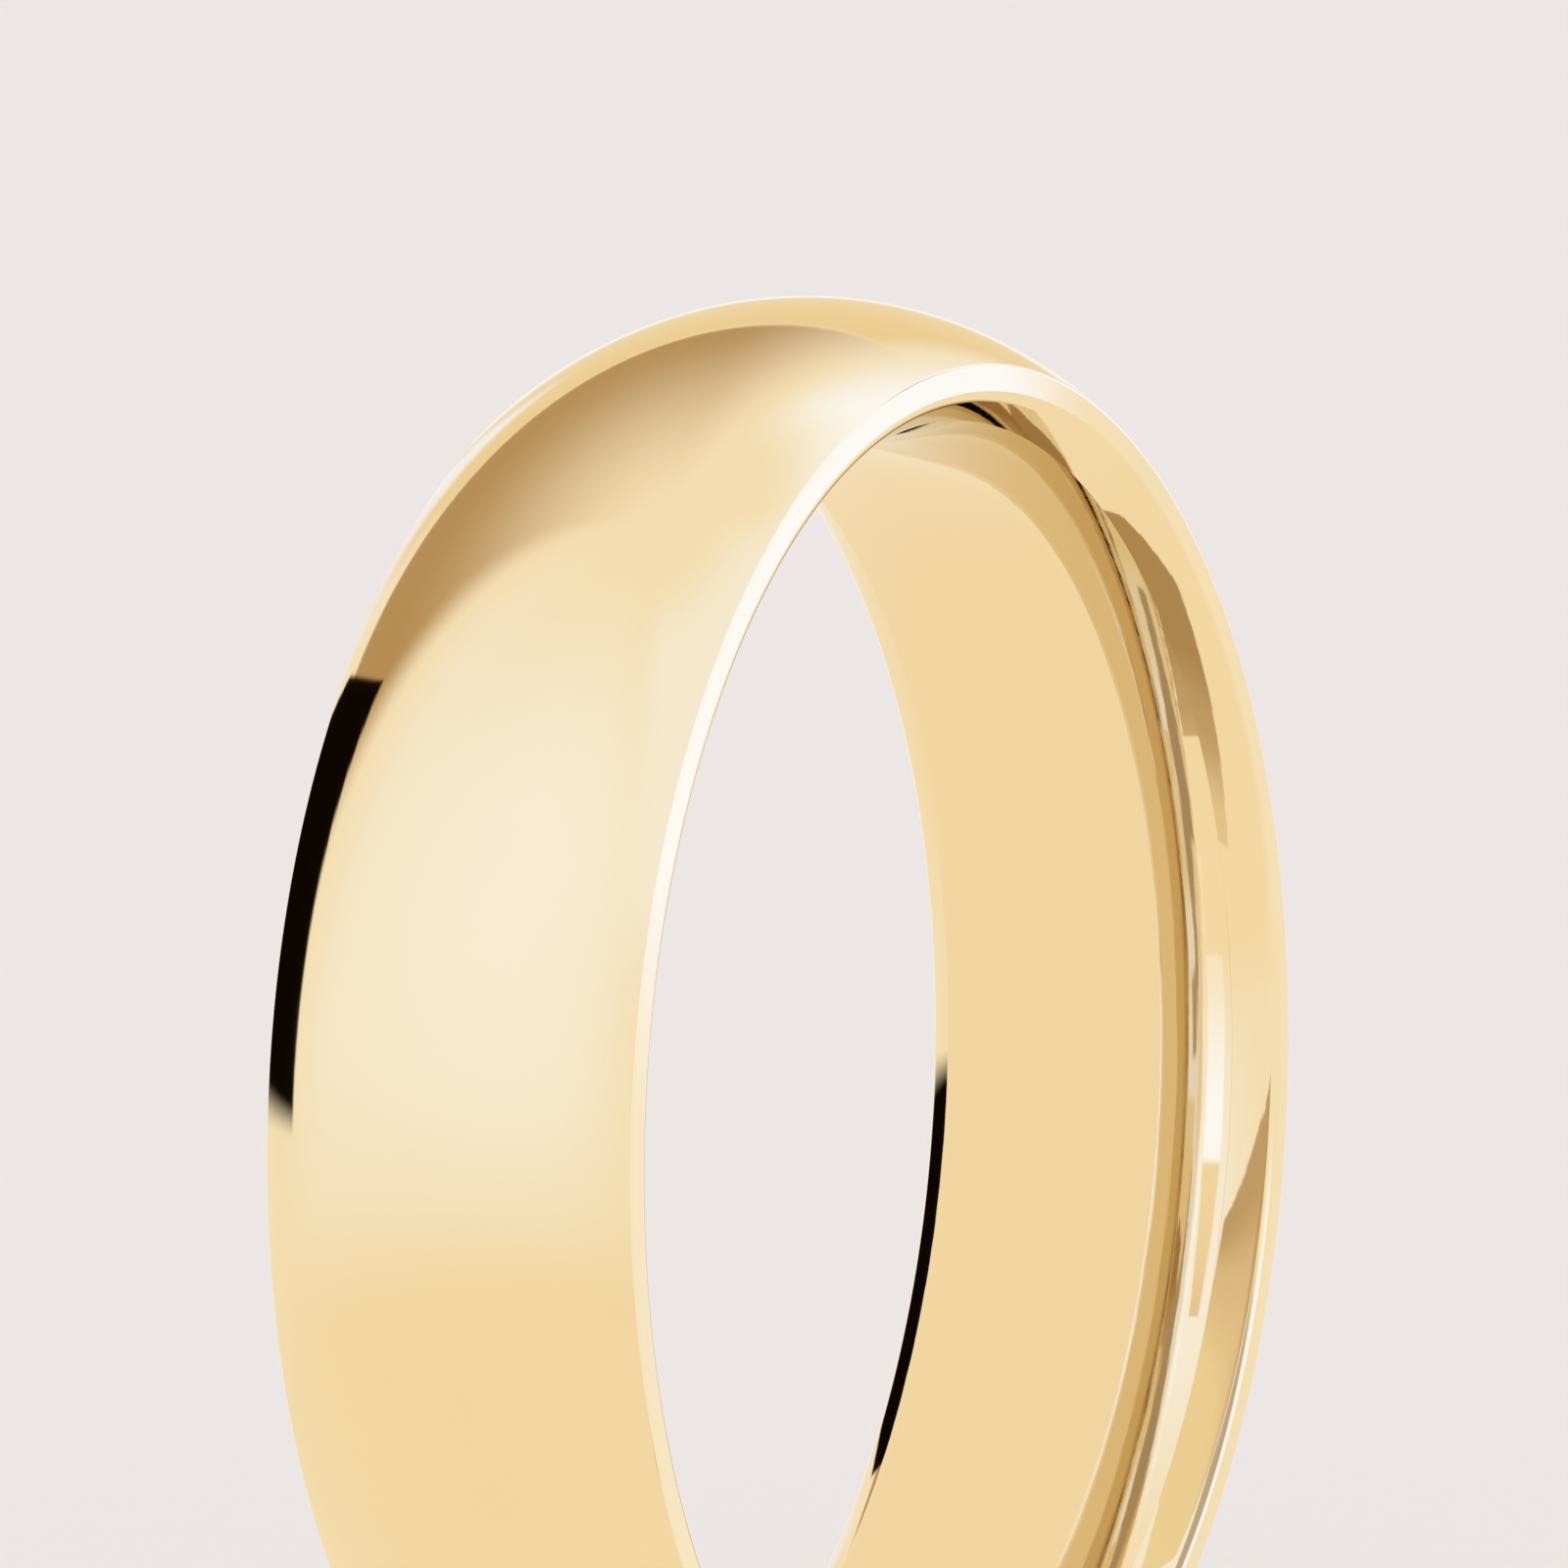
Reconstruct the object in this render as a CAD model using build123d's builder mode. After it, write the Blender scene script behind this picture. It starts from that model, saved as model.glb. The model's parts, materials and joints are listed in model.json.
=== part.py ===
"""Gold wedding band: a court-section (domed, comfort-fit) strip bent round and closed by one solder joint.

Frame: millimetres, +Z up, the band standing upright, its axis along Y, the origin at its centre.
The solder joint lies at the bottom, at -Z.
"""

import os
from math import cos, radians, sin

from build123d import *

# Sizes a ring is ordered by
inner_diameter = 20.0  # ISO size 63, 62.8 mm round the inside
band_width = 6.0
crown_thickness = 2.1

# Outside: one shallow dome from edge to edge, barely broken at the edge
dome_radius = 5.15
outer_edge_radius = 0.10

# Inside: a flat land, an easing curve each side of it, then a barely domed bevel out to a small rounded corner
land_width = 1.4
ease_radius = 5.2
bevel_start = 2.41  # from the middle of the width to the crease where the ease meets the bevel
bevel_lean = radians(28)  # how far the bevel leans away from the bore where it starts
bevel_radius = 3.5
inner_edge_radius = 0.32

# Solder joint: a parallel-sided saw cut through the band, filled with solder
joint_gap = 0.12

inner_radius = inner_diameter / 2
outer_radius = inner_radius + crown_thickness
half_width = band_width / 2
half_land = land_width / 2

# Section points are (distance from the middle of the width, distance from the ring's axis)
land_end = (half_land, inner_radius)
ease_rise = ease_radius - (ease_radius**2 - (bevel_start - half_land) ** 2) ** 0.5
crease = (bevel_start, inner_radius + ease_rise)
bevel_centre = (bevel_start - bevel_radius * sin(bevel_lean), crease[1] + bevel_radius * cos(bevel_lean))
bevel_reach = half_width - bevel_centre[0]
bevel_end = (half_width, bevel_centre[1] - (bevel_radius**2 - bevel_reach**2) ** 0.5)

# The dome's centre lies on the middle plane, one dome radius below the crown
dome_drop = dome_radius - (dome_radius**2 - half_width**2) ** 0.5
dome_end = (half_width, outer_radius - dome_drop)

# The section of the strip where it passes over the top of the ring
with BuildSketch(Plane.YZ) as section:
    with BuildLine() as outline:
        dome = RadiusArc((-half_width, dome_end[1]), dome_end, dome_radius)
        land = Line((-half_land, inner_radius), land_end)
        ease = RadiusArc(land_end, crease, -ease_radius)
        bevel = RadiusArc(crease, bevel_end, -bevel_radius)
        rim = Line(bevel_end, dome_end)
        mirror([ease, bevel, rim], about=Plane.YZ)
    make_face()
    corners = section.vertices().group_by(Axis.Y)
    fillet(corners[-1], radius=outer_edge_radius)
    fillet(corners[-2], radius=inner_edge_radius)

# The saw cut passes through the strip at the bottom of the ring, with room to spare on every side
cut_place = Location((0, 0, -inner_radius - crown_thickness / 2))
cut_size = (joint_gap, 2 * band_width, 2 * crown_thickness)

# The gold strip, bent round, with its two ends facing each other across the joint
with BuildPart() as band:
    revolve(section.sketch, axis=Axis.Y)
    with Locations(cut_place):
        Box(*cut_size, mode=Mode.SUBTRACT)
band.part.label = "band"

# The wafer of solder that fills the joint, finished flush with the strip
with BuildPart() as solder_joint:
    revolve(section.sketch, axis=Axis.Y)
    with Locations(cut_place):
        Box(*cut_size, mode=Mode.INTERSECT)
solder_joint.part.label = "solder_joint"

os.makedirs("parts", exist_ok=True)
export_step(band.part, "parts/band.step")
export_step(solder_joint.part, "parts/solder_joint.step")
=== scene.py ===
"""A polished gold wedding band standing on a pale studio floor.

Lengths are in metres. The ring's axis lies along Y, its centre is the origin and it stands
upright along Z. A direction in the studio is an azimuth and an elevation in degrees: azimuth 0
points towards -Y, 90 towards +X.
"""

import json
import math
from collections import namedtuple

import bpy
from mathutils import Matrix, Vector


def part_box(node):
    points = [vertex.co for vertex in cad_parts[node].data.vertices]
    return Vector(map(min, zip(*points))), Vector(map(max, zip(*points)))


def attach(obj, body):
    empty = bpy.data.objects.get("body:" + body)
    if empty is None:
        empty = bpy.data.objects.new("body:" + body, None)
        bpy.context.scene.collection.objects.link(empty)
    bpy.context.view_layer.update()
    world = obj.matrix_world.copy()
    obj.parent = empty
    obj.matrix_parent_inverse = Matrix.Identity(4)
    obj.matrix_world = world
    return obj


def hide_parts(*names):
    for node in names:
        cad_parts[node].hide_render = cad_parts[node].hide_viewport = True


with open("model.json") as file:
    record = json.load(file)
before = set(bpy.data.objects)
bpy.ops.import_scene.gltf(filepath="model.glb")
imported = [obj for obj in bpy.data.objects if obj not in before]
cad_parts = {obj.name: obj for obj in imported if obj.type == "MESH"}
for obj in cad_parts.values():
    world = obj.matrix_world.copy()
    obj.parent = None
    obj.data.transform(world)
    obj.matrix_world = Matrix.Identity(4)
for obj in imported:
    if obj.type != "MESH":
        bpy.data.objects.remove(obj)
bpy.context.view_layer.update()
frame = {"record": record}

MM = 0.001

# Sizes that the CAD already knows
OUTER_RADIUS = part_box("band")[1].z
HALF_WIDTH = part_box("band")[1].y
INNER_RADIUS = frame["record"]["mounts"][0]["dims"]["r_mm"] * MM
HALF_LAND = frame["record"]["mounts"][0]["dims"]["length_mm"] * MM / 2
HALF_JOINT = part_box("solder_joint")[1].x

# The rest of the section
DOME_RADIUS = 5.15 * MM
OUTER_EDGE_RADIUS = 0.10 * MM
EASE_RADIUS = 5.2 * MM
BEVEL_START = 2.41 * MM
BEVEL_LEAN = math.radians(28)
BEVEL_RADIUS = 3.5 * MM
INNER_EDGE_RADIUS = 0.32 * MM
CREASE_RADIUS = 0.03 * MM

# How finely the section and the turn are divided
DOME_STEPS = 48
EDGE_STEPS = 10
CORNER_STEPS = 16
BEVEL_STEPS = 12
CREASE_STEPS = 6
EASE_STEPS = 20
BAND_STATIONS = 720
SOLDER_STATIONS = 6
SOLDER_SINK = 0.004 * MM

# ---------------------------------------------------------------- the section

OutlinePoint = namedtuple("OutlinePoint", "across radius lean")


def arc(centre_across, centre_radius, size, first, last, steps):
    """Points along an arc of the section. The lean is the outward normal's angle from straight out."""
    points = []
    for step in range(steps + 1):
        lean = first + (last - first) * step / steps
        across = centre_across + size * math.sin(lean)
        radius = centre_radius + size * math.cos(lean)
        points.append(OutlinePoint(across, radius, lean))
    return points


def half_outline():
    """One side of the section, from the crown over the edge, rim, bevel and crease to the land."""
    dome_centre = OUTER_RADIUS - DOME_RADIUS
    edge_across = HALF_WIDTH - OUTER_EDGE_RADIUS
    dome_lean = math.asin(edge_across / (DOME_RADIUS - OUTER_EDGE_RADIUS))
    edge_radius = dome_centre + (DOME_RADIUS - OUTER_EDGE_RADIUS) * math.cos(dome_lean)

    ease_lean = math.asin((BEVEL_START - HALF_LAND) / EASE_RADIUS)
    crease_radius = INNER_RADIUS + EASE_RADIUS * (1 - math.cos(ease_lean))

    bevel_across = BEVEL_START - BEVEL_RADIUS * math.sin(BEVEL_LEAN)
    bevel_radius = crease_radius + BEVEL_RADIUS * math.cos(BEVEL_LEAN)
    corner_across = HALF_WIDTH - INNER_EDGE_RADIUS
    corner_reach = BEVEL_RADIUS - INNER_EDGE_RADIUS
    corner_lean = math.asin((corner_across - bevel_across) / corner_reach)
    corner_radius = bevel_radius - corner_reach * math.cos(corner_lean)

    turn = BEVEL_LEAN - ease_lean
    middle = (BEVEL_LEAN + ease_lean) / 2
    reach = CREASE_RADIUS / math.cos(turn / 2)
    crease_across = BEVEL_START - reach * math.sin(middle)
    crease_height = crease_radius + reach * math.cos(middle)
    trim = CREASE_RADIUS * math.tan(turn / 2)

    # Leans at the points where one arc hands over to the next
    sideways = math.pi / 2
    inward = math.pi
    corner_end = inward - corner_lean
    bevel_end = inward - (BEVEL_LEAN + trim / BEVEL_RADIUS)
    crease_end = inward - (ease_lean - trim / EASE_RADIUS)
    ease_centre = INNER_RADIUS + EASE_RADIUS

    dome = arc(0, dome_centre, DOME_RADIUS, 0, dome_lean, DOME_STEPS)
    edge = arc(edge_across, edge_radius, OUTER_EDGE_RADIUS, dome_lean, sideways, EDGE_STEPS)
    corner = arc(corner_across, corner_radius, INNER_EDGE_RADIUS, sideways, corner_end, CORNER_STEPS)
    bevel = arc(bevel_across, bevel_radius, BEVEL_RADIUS, corner_end, bevel_end, BEVEL_STEPS)
    crease = arc(crease_across, crease_height, CREASE_RADIUS, bevel_end, crease_end, CREASE_STEPS)
    ease = arc(HALF_LAND, ease_centre, EASE_RADIUS, crease_end, inward, EASE_STEPS)

    # The flat rim lies between the edge and the corner, so only there do both end points count
    return dome + edge[1:] + corner + bevel[1:] + crease[1:] + ease[1:]


def whole_outline():
    """The closed section: one side, the land, then the other side back to the crown."""
    right = half_outline()
    left = []
    for point in reversed(right[1:]):
        left.append(OutlinePoint(-point.across, point.radius, -point.lean))
    return right + left


# ---------------------------------------------------------------- the lathe


def on_ring(point, turn, sink):
    """Where an outline point lies after the turn, which starts at the bottom and goes towards +X."""
    across = point.across - sink * math.sin(point.lean)
    radius = point.radius - sink * math.cos(point.lean)
    return (radius * math.sin(turn), across, -radius * math.cos(turn))


def ring_normal(point, turn):
    """The outward normal at an outline point after the turn."""
    out = math.cos(point.lean)
    return (out * math.sin(turn), math.sin(point.lean), -out * math.cos(turn))


def turned(name, outline, turn_range, stations, sink=0.0):
    """A closed piece: the outline carried round the axis, with a flat cap at each end."""
    count = len(outline)
    verts = []
    normals = []
    for station in range(stations + 1):
        share = station / stations
        for point in outline:
            first, last = turn_range(point)
            turn = first + (last - first) * share
            verts.append(on_ring(point, turn, sink))
            normals.append(ring_normal(point, turn))

    faces = []
    loop_normals = []
    for station in range(stations):
        here = station * count
        there = here + count
        for i in range(count):
            j = (i + 1) % count
            corners = (here + i, here + j, there + j, there + i)
            faces.append(corners)
            loop_normals += [normals[c] for c in corners]
    last_ring = stations * count
    faces.append(tuple(reversed(range(count))))
    loop_normals += [(-1.0, 0.0, 0.0)] * count
    faces.append(tuple(range(last_ring, last_ring + count)))
    loop_normals += [(1.0, 0.0, 0.0)] * count

    mesh = bpy.data.meshes.new(name)
    mesh.from_pydata(verts, [], faces)
    mesh.polygons.foreach_set("use_smooth", [True] * len(faces))
    mesh.normals_split_custom_set(loop_normals)
    mesh.update()
    piece = bpy.data.objects.new(name, mesh)
    bpy.context.scene.collection.objects.link(piece)
    return piece


def band_turns(point):
    """From one face of the joint, all the way round, to the other face."""
    half = math.asin(HALF_JOINT / point.radius)
    return (half, 2 * math.pi - half)


def solder_turns(point):
    """From one face of the joint to the other, past the bottom."""
    half = math.asin(HALF_JOINT / point.radius)
    return (-half, half)


# ---------------------------------------------------------------- node graphs


class Graph:
    """Short ways to build a shader out of nodes."""

    def __init__(self, tree):
        self.tree = tree
        tree.nodes.clear()

    def node(self, kind, inputs=None, **settings):
        made = self.tree.nodes.new(kind)
        for name, value in settings.items():
            setattr(made, name, value)
        for socket, value in (inputs or {}).items():
            self.feed(made.inputs[socket], value)
        return made

    def feed(self, socket, value):
        if isinstance(value, bpy.types.NodeSocket):
            self.tree.links.new(value, socket)
        else:
            socket.default_value = value

    def math(self, operation, *values):
        made = self.node("ShaderNodeMath", operation=operation)
        for socket, value in zip(made.inputs, values):
            self.feed(socket, value)
        return made.outputs[0]

    def ramp(self, value, low, high):
        """0 below low, 1 above high and a smooth step between. Low may be the larger of the two."""
        inputs = {"Value": value, "From Min": low, "From Max": high}
        made = self.node("ShaderNodeMapRange", inputs, interpolation_type="SMOOTHSTEP")
        return made.outputs[0]

    def mix(self, share, first, second):
        made = self.node("ShaderNodeMix", data_type="RGBA")
        self.feed(made.inputs[0], share)
        self.feed(made.inputs[6], first)
        self.feed(made.inputs[7], second)
        return made.outputs[2]

    def noise(self, vector, scale, detail):
        inputs = {"Vector": vector, "Scale": scale, "Detail": detail}
        return self.node("ShaderNodeTexNoise", inputs).outputs[0]

    def bump(self, height, distance, normal=None):
        """A bump, laid over another one's normal if there is one."""
        inputs = {"Height": height, "Distance": distance, "Strength": 1.0}
        if normal is not None:
            inputs["Normal"] = normal
        return self.node("ShaderNodeBump", inputs).outputs[0]


def solid(rgb):
    return (rgb[0], rgb[1], rgb[2], 1.0)


# ---------------------------------------------------------------- metal

Finish = namedtuple("Finish", "colour smooth rough wave_height line_height")

GOLD_FINISH = Finish((0.94, 0.75, 0.45), 0.035, 0.07, 0.004 * MM, 0.0002 * MM)
SOLDER_FINISH = Finish((0.95, 0.80, 0.55), 0.10, 0.18, 0.004 * MM, 0.0004 * MM)

# Painted shade in the metal's reflections of itself: where a glossy ray sees the metal, it is drawn
# duller and darker than at first sight
PAINTED_SELF_REFLECTION_TONE = (0.80, 0.70, 0.52)

# Polishing lines run round the ring: long that way, fine across it
LINE_LENGTH = 1.5 * MM
LINE_WIDTH = 0.05 * MM
LINE_MIDDLE_RADIUS = 11 * MM
GRAIN_SHARE = 0.4

# Noise scales, in cycles per metre, and levels where their ramps start and end
PATCH_SCALE = 220.0
WAVE_SCALE = 130.0
SPECK_SCALE = 6000.0
WORN_PATCHES = (0.35, 0.75)
WORN_LINES = (0.40, 0.70)
TINT_PATCHES = (0.30, 0.70)
TINT_DARKEST = 0.985


def polished_metal(name, finish):
    """Buffed metal: fine polishing lines round the ring, over a slow unevenness in the surface, and
    painted shade that dulls the metal where it is seen in its own reflections.
    """
    material = bpy.data.materials.new(name)
    material.use_nodes = True
    graph = Graph(material.node_tree)
    place = graph.node("ShaderNodeTexCoord").outputs["Object"]
    parts = graph.node("ShaderNodeSeparateXYZ", {"Vector": place}).outputs

    turn = graph.math("ARCTAN2", parts["X"], parts["Z"])
    along = graph.math("MULTIPLY", turn, LINE_MIDDLE_RADIUS / LINE_LENGTH)
    across = graph.math("DIVIDE", parts["Y"], LINE_WIDTH)
    x_squared = graph.math("POWER", parts["X"], 2.0)
    z_squared = graph.math("POWER", parts["Z"], 2.0)
    radius = graph.math("SQRT", graph.math("ADD", x_squared, z_squared))
    depth = graph.math("DIVIDE", radius, LINE_WIDTH)
    lines_at = graph.node("ShaderNodeCombineXYZ", {"X": along, "Y": across, "Z": depth}).outputs[0]

    lines = graph.noise(lines_at, 1.0, 3.0)
    patches = graph.noise(place, PATCH_SCALE, 3.0)
    waves = graph.noise(place, WAVE_SCALE, 1.0)
    specks = graph.noise(place, SPECK_SCALE, 2.0)

    worn_patches = graph.ramp(patches, *WORN_PATCHES)
    worn_lines = graph.ramp(lines, *WORN_LINES)
    worn = graph.math("MULTIPLY", worn_patches, worn_lines)
    added = graph.math("MULTIPLY", worn, finish.rough - finish.smooth)
    roughness = graph.math("ADD", added, finish.smooth)

    tint = graph.ramp(patches, *TINT_PATCHES)
    darker = solid([channel * TINT_DARKEST for channel in finish.colour])
    colour = graph.mix(tint, darker, solid(finish.colour))
    # Painted shade: the metal takes a duller, darker colour where it is seen in its own reflections
    self_reflection_share = graph.node("ShaderNodeLightPath").outputs["Is Glossy Ray"]
    colour = graph.mix(self_reflection_share, colour, solid(PAINTED_SELF_REFLECTION_TONE))

    waviness = graph.bump(waves, finish.wave_height)
    brushed = graph.bump(lines, finish.line_height, waviness)
    grain = graph.bump(specks, finish.line_height * GRAIN_SHARE, brushed)
    inputs = {
        "Base Color": colour,
        "Metallic": 1.0,
        "Roughness": roughness,
        "Normal": grain,
    }
    shader = graph.node("ShaderNodeBsdfPrincipled", inputs)
    output = graph.node("ShaderNodeOutputMaterial")
    graph.feed(output.inputs["Surface"], shader.outputs[0])
    return material


# ---------------------------------------------------------------- studio light

Span = namedtuple("Span", "start end soft_start soft_end")
Panel = namedtuple("Panel", "across up colour slant top_slant", defaults=(0.0, 0.0))

SKY = (0.97, 0.97, 0.95)
FLOOR_GLOW = (0.95, 0.91, 0.81)
FLOOR_GLOW_LEVELS = (-8.0, -22.0)
BACKDROP = (0.86, 0.82, 0.80)

# A large cool panel on the camera's side, with a round glow in the middle of it
KEY_PANEL = Panel(Span(-182, -38, 30, 35), Span(-22, 88, 30, 50), (0.985, 1.06, 1.27))
GLOW_CENTRE = (-92, 35)
GLOW_REACH = (75, 50)
GLOW_COLOUR = (1.0, 1.11, 1.43)

# Bright panels that whiten the near edge, at the top and down the left
FRONT_PANEL = Panel(Span(-5, 100, 28, 22), Span(-2, 72, 4, 22), (1.03, 1.23, 1.80))
FILL_PANEL = Panel(Span(-62, 40, 22, 30), Span(16, 82, 14, 20), (0.98, 1.08, 1.35))

# The brown flag behind the upper left of the dome, with lighter panels below it
BROWN_FLAG = Panel(Span(92, 186, 28, 14), Span(23.5, 88, 1.5, 60), (0.50, 0.35, 0.19), slant=-0.27)
GOLD_PANEL = Panel(
    Span(96, 150, 8, 10),
    Span(4, 30, 4, 3),
    (0.89, 0.77, 0.52),
    top_slant=-0.27,
)
PALE_PANEL = Panel(Span(126, 152, 5, 4), Span(-16, 18, 4, 4), (0.95, 1.02, 1.25))

# The narrow black flag straight behind, whose right edge bends
STRIPE_ACROSS = Span(155.0, 195.0, 1.0, 1.0)
STRIPE_UP = Span(-4.5, 30.7, 3.0, 0.6)
STRIPE_TOP_SLANT = 0.678
STRIPE_BEND = 0.0143
STRIPE_BEND_LEVEL = 2.0
STRIPE_RIGHT_EDGE = (187.9, 186.6)
STRIPE_COLOUR = (0.004, 0.002, 0.001)

# A background ray counts one more than the reflections behind it
DEPTH_OF_SECOND_LOOK = 2.5

GREY_FLAG = Panel(Span(-15, 73, 20, 5), Span(10, 40, 5, 6), (0.55, 0.49, 0.48))


def between(graph, value, span):
    """1 inside the span, falling smoothly to 0 outside it."""
    rise = graph.ramp(value, span.start, span.start + span.soft_start)
    fall = graph.ramp(value, span.end, span.end - span.soft_end)
    return graph.math("MULTIPLY", rise, fall)


def panel_share(graph, azimuth, elevation, across, up, slant, top_slant):
    """A soft-edged panel in the studio. Its bottom and top edges may slant with the azimuth."""
    centre = (across.start + across.end) / 2
    half = (across.end - across.start) / 2
    turn = graph.math("WRAP", graph.math("SUBTRACT", azimuth, centre), 180.0, -180.0)
    sides = between(graph, turn, Span(-half, half, across.soft_start, across.soft_end))

    above_bottom = graph.math("SUBTRACT", elevation, graph.math("MULTIPLY", turn, slant))
    low = graph.ramp(above_bottom, up.start, up.start + up.soft_start)
    above_top = graph.math("SUBTRACT", elevation, graph.math("MULTIPLY", turn, top_slant))
    high = graph.ramp(above_top, up.end, up.end - up.soft_end)
    return graph.math("MULTIPLY", graph.math("MULTIPLY", sides, low), high)


def glow_share(graph, azimuth, elevation):
    """A round soft glow that fades to nothing at its reach."""
    turn = graph.math("WRAP", graph.math("SUBTRACT", azimuth, GLOW_CENTRE[0]), 180.0, -180.0)
    aside = graph.math("POWER", graph.math("DIVIDE", turn, GLOW_REACH[0]), 2.0)
    above = graph.math("SUBTRACT", elevation, GLOW_CENTRE[1])
    above = graph.math("POWER", graph.math("DIVIDE", above, GLOW_REACH[1]), 2.0)
    distance = graph.math("SQRT", graph.math("ADD", aside, above))
    return graph.ramp(distance, 1.0, 0.0)


def stripe_share(graph, azimuth, elevation, depth):
    """The black flag. Only the first reflection sees it."""
    tall = panel_share(
        graph, azimuth, elevation, STRIPE_ACROSS, STRIPE_UP, slant=0.0, top_slant=STRIPE_TOP_SLANT
    )
    level = graph.math("ADD", elevation, STRIPE_BEND_LEVEL)
    bend = graph.math("MULTIPLY", graph.math("POWER", level, 2.0), STRIPE_BEND)
    right_edge = graph.math("ADD", graph.math("WRAP", azimuth, 360.0, 0.0), bend)
    bent = graph.math("MULTIPLY", tall, graph.ramp(right_edge, *STRIPE_RIGHT_EDGE))
    first_look = graph.math("LESS_THAN", depth, DEPTH_OF_SECOND_LOOK)
    return graph.math("MULTIPLY", bent, first_look)


def light_studio():
    """The panels and flags that the polished gold reflects, and a plain backdrop for the camera."""
    world = bpy.data.worlds.new("studio")
    world.use_nodes = True
    bpy.context.scene.world = world
    graph = Graph(world.node_tree)
    direction = graph.node("ShaderNodeTexCoord").outputs["Generated"]
    parts = graph.node("ShaderNodeSeparateXYZ", {"Vector": direction}).outputs
    ahead = graph.math("MULTIPLY", parts["Y"], -1.0)
    azimuth = graph.math("DEGREES", graph.math("ARCTAN2", parts["X"], ahead))
    elevation = graph.math("DEGREES", graph.math("ARCSINE", parts["Z"]))
    path = graph.node("ShaderNodeLightPath").outputs

    def hang(light, panel):
        share = panel_share(
            graph, azimuth, elevation, panel.across, panel.up, panel.slant, panel.top_slant
        )
        return graph.mix(share, light, solid(panel.colour))

    below = graph.ramp(elevation, *FLOOR_GLOW_LEVELS)
    light = graph.mix(below, solid(SKY), solid(FLOOR_GLOW))
    light = hang(light, KEY_PANEL)
    light = graph.mix(glow_share(graph, azimuth, elevation), light, solid(GLOW_COLOUR))
    for panel in (FRONT_PANEL, FILL_PANEL, BROWN_FLAG, GOLD_PANEL, PALE_PANEL):
        light = hang(light, panel)
    stripe = stripe_share(graph, azimuth, elevation, path["Ray Depth"])
    light = graph.mix(stripe, light, solid(STRIPE_COLOUR))
    light = hang(light, GREY_FLAG)

    seen = graph.mix(path["Is Camera Ray"], light, solid(BACKDROP))
    background = graph.node("ShaderNodeBackground", {"Color": seen, "Strength": 1.0})
    output = graph.node("ShaderNodeOutputWorld")
    graph.feed(output.inputs["Surface"], background.outputs[0])


# ---------------------------------------------------------------- floor and camera

FLOOR_SIZE = 3.0
FLOOR_COLOUR = (0.948, 0.869, 0.740)
FLOOR_DARKEST = 0.985
FIBRE_SCALE = 2500.0
BACK_CARD_RADIUS = 10.37 * MM
BACK_CARD_GAP = 0.2 * MM
BACK_CARD_COLOUR = (0.945, 0.895, 0.785)
BACK_CARD_STEPS = 96


def lay_floor():
    """A large pale floor. The gold doesn't see it: the studio's own glow stands in for it there."""
    half = FLOOR_SIZE / 2
    z = -OUTER_RADIUS
    corners = [(-half, -half, z), (half, -half, z), (half, half, z), (-half, half, z)]
    mesh = bpy.data.meshes.new("floor")
    mesh.from_pydata(corners, [], [(0, 1, 2, 3)])
    floor = bpy.data.objects.new("floor", mesh)
    bpy.context.scene.collection.objects.link(floor)

    material = bpy.data.materials.new("paper")
    material.use_nodes = True
    graph = Graph(material.node_tree)
    place = graph.node("ShaderNodeTexCoord").outputs["Object"]
    fibre = graph.noise(place, FIBRE_SCALE, 4.0)
    low = solid([channel * FLOOR_DARKEST for channel in FLOOR_COLOUR])
    shade = graph.mix(fibre, low, solid(FLOOR_COLOUR))
    shader = graph.node("ShaderNodeBsdfPrincipled", {"Base Color": shade, "Roughness": 0.9})
    shader.inputs["Specular IOR Level"].default_value = 0.0
    output = graph.node("ShaderNodeOutputMaterial")
    graph.feed(output.inputs["Surface"], shader.outputs[0])
    mesh.materials.append(material)
    floor.visible_glossy = False


def only_for_gold(name, corners, colour_of):
    """A flat glowing card near the ring that nothing but the polished metal can see."""
    mesh = bpy.data.meshes.new(name)
    mesh.from_pydata(corners, [], [tuple(range(len(corners)))])
    piece = bpy.data.objects.new(name, mesh)
    bpy.context.scene.collection.objects.link(piece)

    material = bpy.data.materials.new(name + "_glow")
    material.use_nodes = True
    graph = Graph(material.node_tree)
    place = graph.node("ShaderNodeTexCoord").outputs["Object"]
    parts = graph.node("ShaderNodeSeparateXYZ", {"Vector": place}).outputs
    colour = colour_of(graph, parts)
    shader = graph.node("ShaderNodeEmission", {"Color": colour, "Strength": 1.0})
    output = graph.node("ShaderNodeOutputMaterial")
    graph.feed(output.inputs["Surface"], shader.outputs[0])
    mesh.materials.append(material)
    piece.visible_camera = False
    piece.visible_diffuse = False
    piece.visible_shadow = False
    piece.visible_transmission = False


def stand_back_card():
    """A pale disc behind the far opening, which closes off the dark beyond."""
    y = HALF_WIDTH + BACK_CARD_GAP
    corners = []
    for step in range(BACK_CARD_STEPS):
        turn = 2 * math.pi * step / BACK_CARD_STEPS
        x = BACK_CARD_RADIUS * math.sin(turn)
        z = BACK_CARD_RADIUS * math.cos(turn)
        corners.append((x, y, z))
    only_for_gold("back_card", corners, lambda graph, parts: solid(BACK_CARD_COLOUR))


DARK_BROWN = (0.44, 0.31, 0.17)
BROWN = (0.56, 0.43, 0.28)
TAN = (0.76, 0.64, 0.48)
LIGHT_TAN = (0.82, 0.72, 0.56)
STRAW = (0.90, 0.82, 0.64)
PALE_STRAW = (0.93, 0.87, 0.74)
WHITE = (1.05, 1.26, 1.90)
CREAM = (1.00, 1.04, 1.14)

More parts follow.
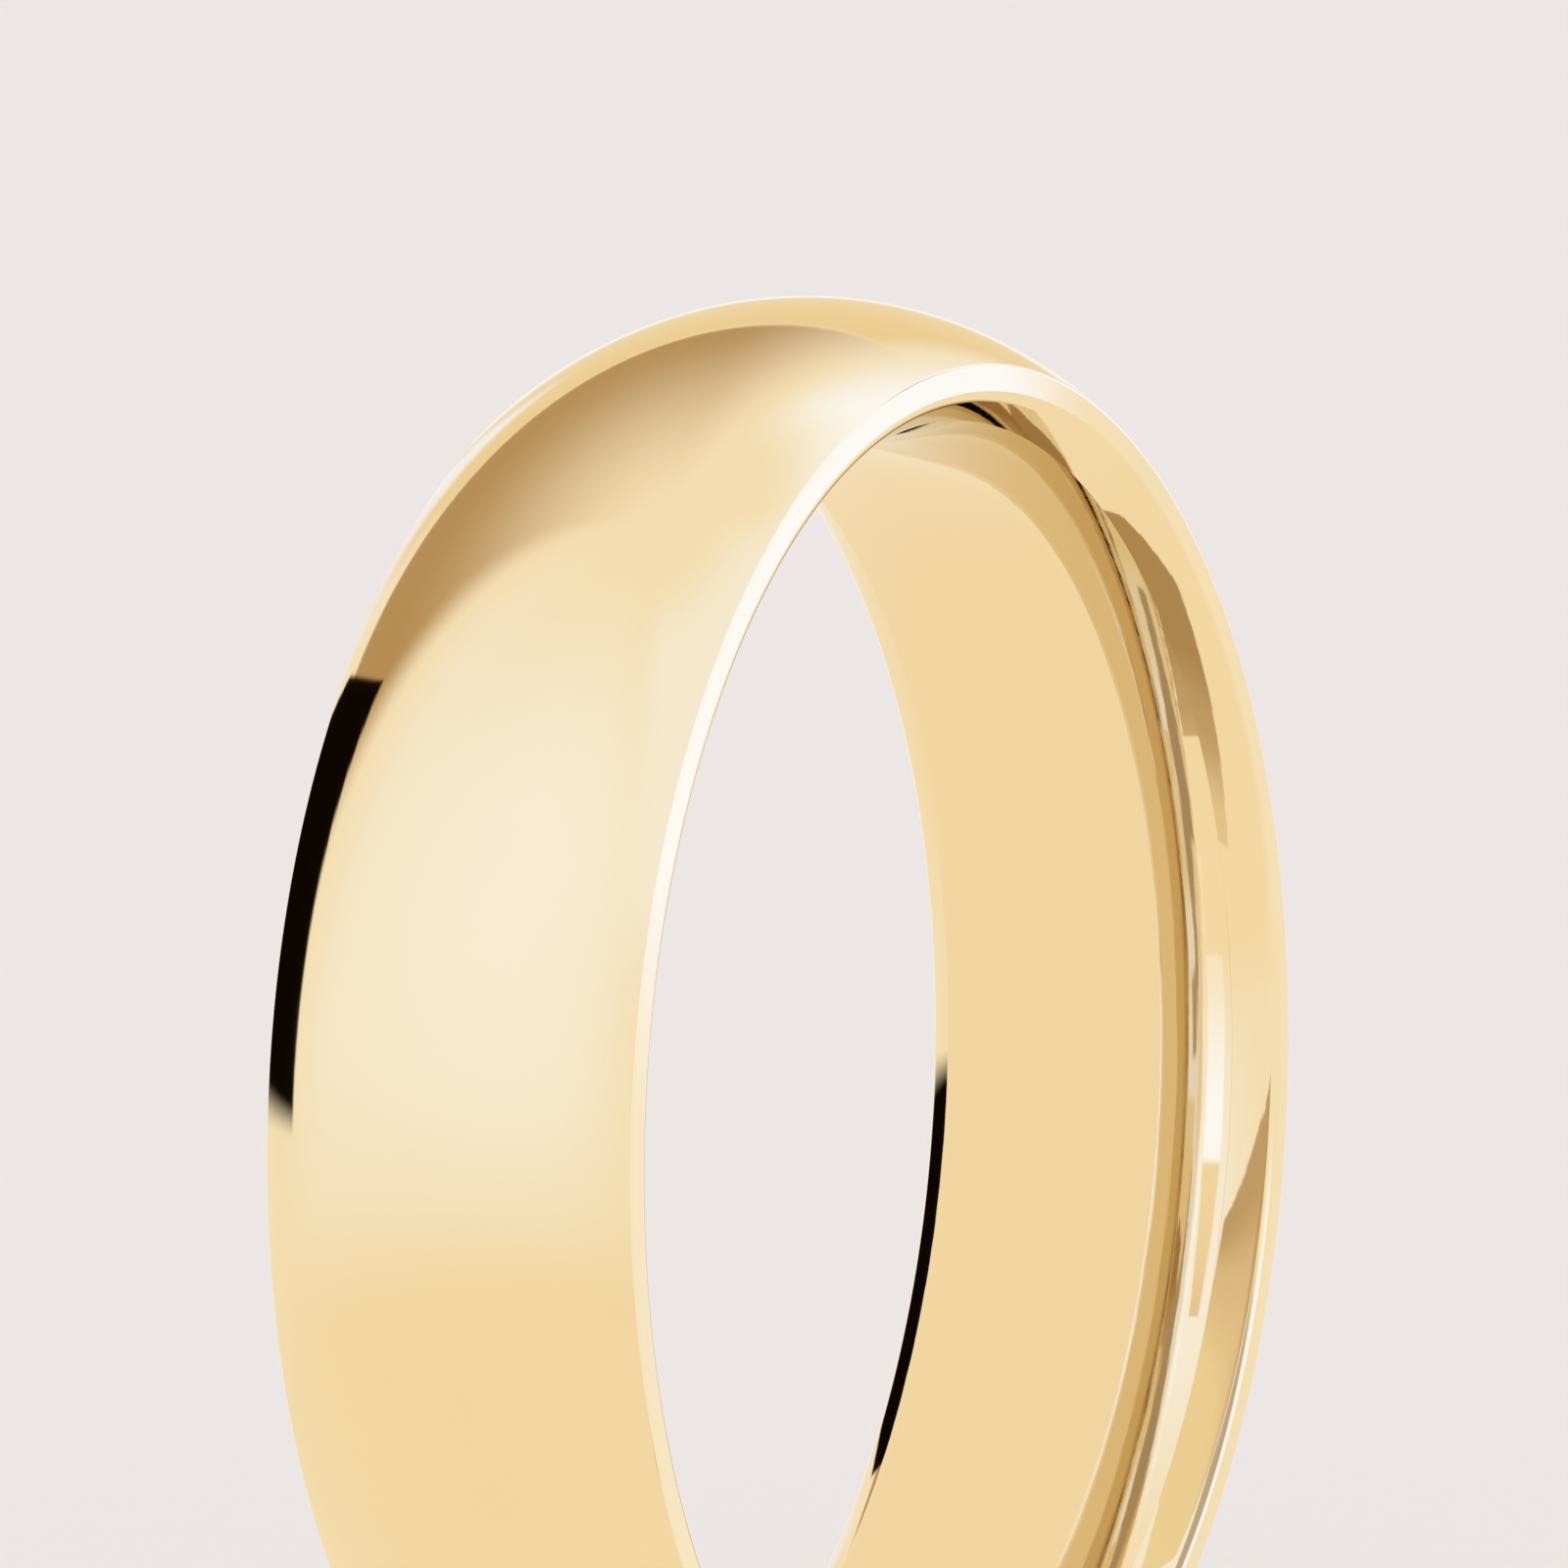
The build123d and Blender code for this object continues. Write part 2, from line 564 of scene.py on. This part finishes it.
# A tall card in front of the ring: millimetres across and up
BROWN_CARD_Y = -16 * MM
BROWN_CARD_OUTLINE = (
    (7, -1.2),
    (0, -0.5),
    (-2, 0.2),
    (-10, 6.2),
    (-10, 24),
    (7, 24),
)
BROWN_CARD_LEAN = 0.6
BROWN_TO_TAN = (0.8 * MM, 4.0 * MM)
TAN_TO_STRAW = (3.5 * MM, 10.0 * MM)

# A small grey card close to the near opening
GREY_CARD_Y = -8 * MM
GREY_CARD_OUTLINE = ((-12, -8), (-1.5, -8), (-1.5, 8), (-12, 8))
GREY_CARD_COLOUR = (0.50, 0.44, 0.42)

# A narrow card that stands edge-on to the ring, in front of its left side
SLIT_CARD_X = -8 * MM
SLIT_CARD_Y = (-5.75 * MM, -3.5 * MM)
SLIT_CARD_Z = (-5.4 * MM, 10 * MM)
SLIT_CARD_TOP_FAR = -4.4 * MM
SLIT_WHITE_TOP = 2.5 * MM
SLIT_WHITE_BLUR = 0.2 * MM
SLIT_CREAM_TO_WHITE = (-5.4 * MM, 0.5 * MM)
SLIT_STRAW_TO_TAN = (4 * MM, 14 * MM)

# A dark card on the floor, a painted shadow: it stands in for the ring's own shadow on the floor, as
# the gold reflects it. Millimetres across and towards the back
FLOOR_SHADOW_Z = -12.0 * MM
FLOOR_SHADOW_OUTLINE = (
    (13, -5),
    (10, -3.2),
    (-1.2, -3.2),
    (-1.2, -5),
    (-7, -8),
    (-7, -16),
    (8.5, -11.5),
    (12.5, -7),
)
FLOOR_SHADOW_DARK_TO_BROWN = (5 * MM, 1 * MM)
FLOOR_SHADOW_BROWN_TO_TAN = (1 * MM, -5 * MM)

# A crescent just in front of the near edge, which keeps its rim bright. Each side is part of a
# circle: its centre aside and above, then its radius.
CRESCENT_Y = -3.4 * MM
CRESCENT_OUTER = (0.0, 0.2 * MM, 11.4 * MM)
CRESCENT_INNER = (1.2 * MM, -0.1 * MM, 10.5 * MM)
CRESCENT_TURN = (math.radians(-145), math.radians(26))
CRESCENT_STEPS = 60
CRESCENT_CREAM_TO_WHITE = (0.0, 5.0 * MM)
CRESCENT_END_FADE = (1.5 * MM, 5.0 * MM)


def brown_card_colour(graph, parts):
    """Brown along its slanting lower edge, fading through tan to straw towards the top."""
    left = graph.math("MINIMUM", parts["X"], 0.0)
    level = graph.math("ADD", parts["Z"], graph.math("MULTIPLY", left, BROWN_CARD_LEAN))
    colour = graph.mix(graph.ramp(level, *BROWN_TO_TAN), solid(BROWN), solid(TAN))
    return graph.mix(graph.ramp(level, *TAN_TO_STRAW), colour, solid(STRAW))


def slit_card_colour(graph, parts):
    """Cream to white in the lower part, then straw, fading to tan towards the top."""
    z = parts["Z"]
    above = graph.ramp(z, SLIT_WHITE_TOP - SLIT_WHITE_BLUR, SLIT_WHITE_TOP + SLIT_WHITE_BLUR)
    upper = graph.mix(graph.ramp(z, *SLIT_STRAW_TO_TAN), solid(PALE_STRAW), solid(TAN))
    lower = graph.mix(graph.ramp(z, *SLIT_CREAM_TO_WHITE), solid(CREAM), solid(WHITE))
    return graph.mix(above, lower, upper)


def floor_shadow_colour(graph, parts):
    """Painted shadow of the ring on the floor: darkest on the right, fading through brown to tan on
    the left.
    """
    x = parts["X"]
    colour = graph.mix(graph.ramp(x, *FLOOR_SHADOW_DARK_TO_BROWN), solid(DARK_BROWN), solid(BROWN))
    return graph.mix(graph.ramp(x, *FLOOR_SHADOW_BROWN_TO_TAN), colour, solid(LIGHT_TAN))


def crescent_colour(graph, parts):
    """White in the upper half, cream towards the bottom, and no brighter than the sky at its end."""
    upper = graph.ramp(parts["Z"], *CRESCENT_CREAM_TO_WHITE)
    colour = graph.mix(upper, solid(CREAM), solid(WHITE))
    return graph.mix(graph.ramp(parts["X"], *CRESCENT_END_FADE), colour, solid(SKY))


def crescent_side(aside, above, radius):
    """One side of the crescent, from low on the left over the top."""
    side = []
    first, last = CRESCENT_TURN
    for step in range(CRESCENT_STEPS + 1):
        turn = first + (last - first) * step / CRESCENT_STEPS
        x = aside + radius * math.sin(turn)
        z = above + radius * math.cos(turn)
        side.append((x, CRESCENT_Y, z))
    return side


def stand_front_cards():
    """Cards in front of the near opening, which draw the bands along the near edge, and a card on the
    floor that is a painted shadow: the ring's own shadow on the floor as the gold reflects it.
    """
    brown = [(x * MM, BROWN_CARD_Y, z * MM) for x, z in BROWN_CARD_OUTLINE]
    only_for_gold("brown_card", brown, brown_card_colour)

    grey = [(x * MM, GREY_CARD_Y, z * MM) for x, z in GREY_CARD_OUTLINE]
    only_for_gold("grey_card", grey, lambda graph, parts: solid(GREY_CARD_COLOUR))

    near, far = SLIT_CARD_Y
    low, high = SLIT_CARD_Z
    side = [(near, low), (far, low), (far, SLIT_WHITE_TOP), (SLIT_CARD_TOP_FAR, high), (near, high)]
    slit = [(SLIT_CARD_X, y, z) for y, z in side]
    only_for_gold("slit_card", slit, slit_card_colour)

    # Painted shadow: the ring's own shadow on the floor, seen only in the gold
    dark = [(x * MM, y * MM, FLOOR_SHADOW_Z) for x, y in FLOOR_SHADOW_OUTLINE]
    only_for_gold("painted_floor_shadow", dark, floor_shadow_colour)

    crescent = crescent_side(*CRESCENT_OUTER) + crescent_side(*CRESCENT_INNER)[::-1]
    only_for_gold("crescent_card", crescent, crescent_colour)


CAMERA_AZIMUTH = math.radians(-63.11)
CAMERA_ELEVATION = math.radians(4.89)
CAMERA_LENS = 359.29
CAMERA_SENSOR = 36.0
CAMERA_ASIDE = -0.184 * MM
CAMERA_ABOVE = 4.739 * MM
CAMERA_BACK = 236.007 * MM
CAMERA_CLIP = (0.01, 10.0)


def place_camera():
    """A long lens, a little above the ring and turned to look through it from the near left."""
    sine, cosine = math.sin(CAMERA_AZIMUTH), math.cos(CAMERA_AZIMUTH)
    rise, level = math.sin(CAMERA_ELEVATION), math.cos(CAMERA_ELEVATION)
    aside = (cosine, sine, 0.0)
    back = (sine * level, -cosine * level, rise)
    up = (-sine * rise, cosine * rise, level)
    data = bpy.data.cameras.new("camera")
    data.lens = CAMERA_LENS
    data.sensor_width = CAMERA_SENSOR
    data.clip_start, data.clip_end = CAMERA_CLIP
    camera = bpy.data.objects.new("camera", data)
    position = []
    for axis in range(3):
        reach = CAMERA_ASIDE * aside[axis] + CAMERA_ABOVE * up[axis] + CAMERA_BACK * back[axis]
        position.append(reach)
    camera.location = position
    camera.rotation_euler = (math.pi / 2 - CAMERA_ELEVATION, 0.0, CAMERA_AZIMUTH)
    bpy.context.scene.collection.objects.link(camera)
    bpy.context.scene.camera = camera


# ---------------------------------------------------------------- the ring

outline = whole_outline()

band = turned("gold_band", outline, band_turns, BAND_STATIONS)
band.data.materials.append(polished_metal("gold", GOLD_FINISH))
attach(band, "root")
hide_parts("band")

solder = turned("solder_seam", outline, solder_turns, SOLDER_STATIONS, SOLDER_SINK)
solder.data.materials.append(polished_metal("solder", SOLDER_FINISH))
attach(solder, "root")
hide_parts("solder_joint")

light_studio()
lay_floor()
stand_back_card()
stand_front_cards()
place_camera()
bpy.context.scene.view_settings.view_transform = "Standard"
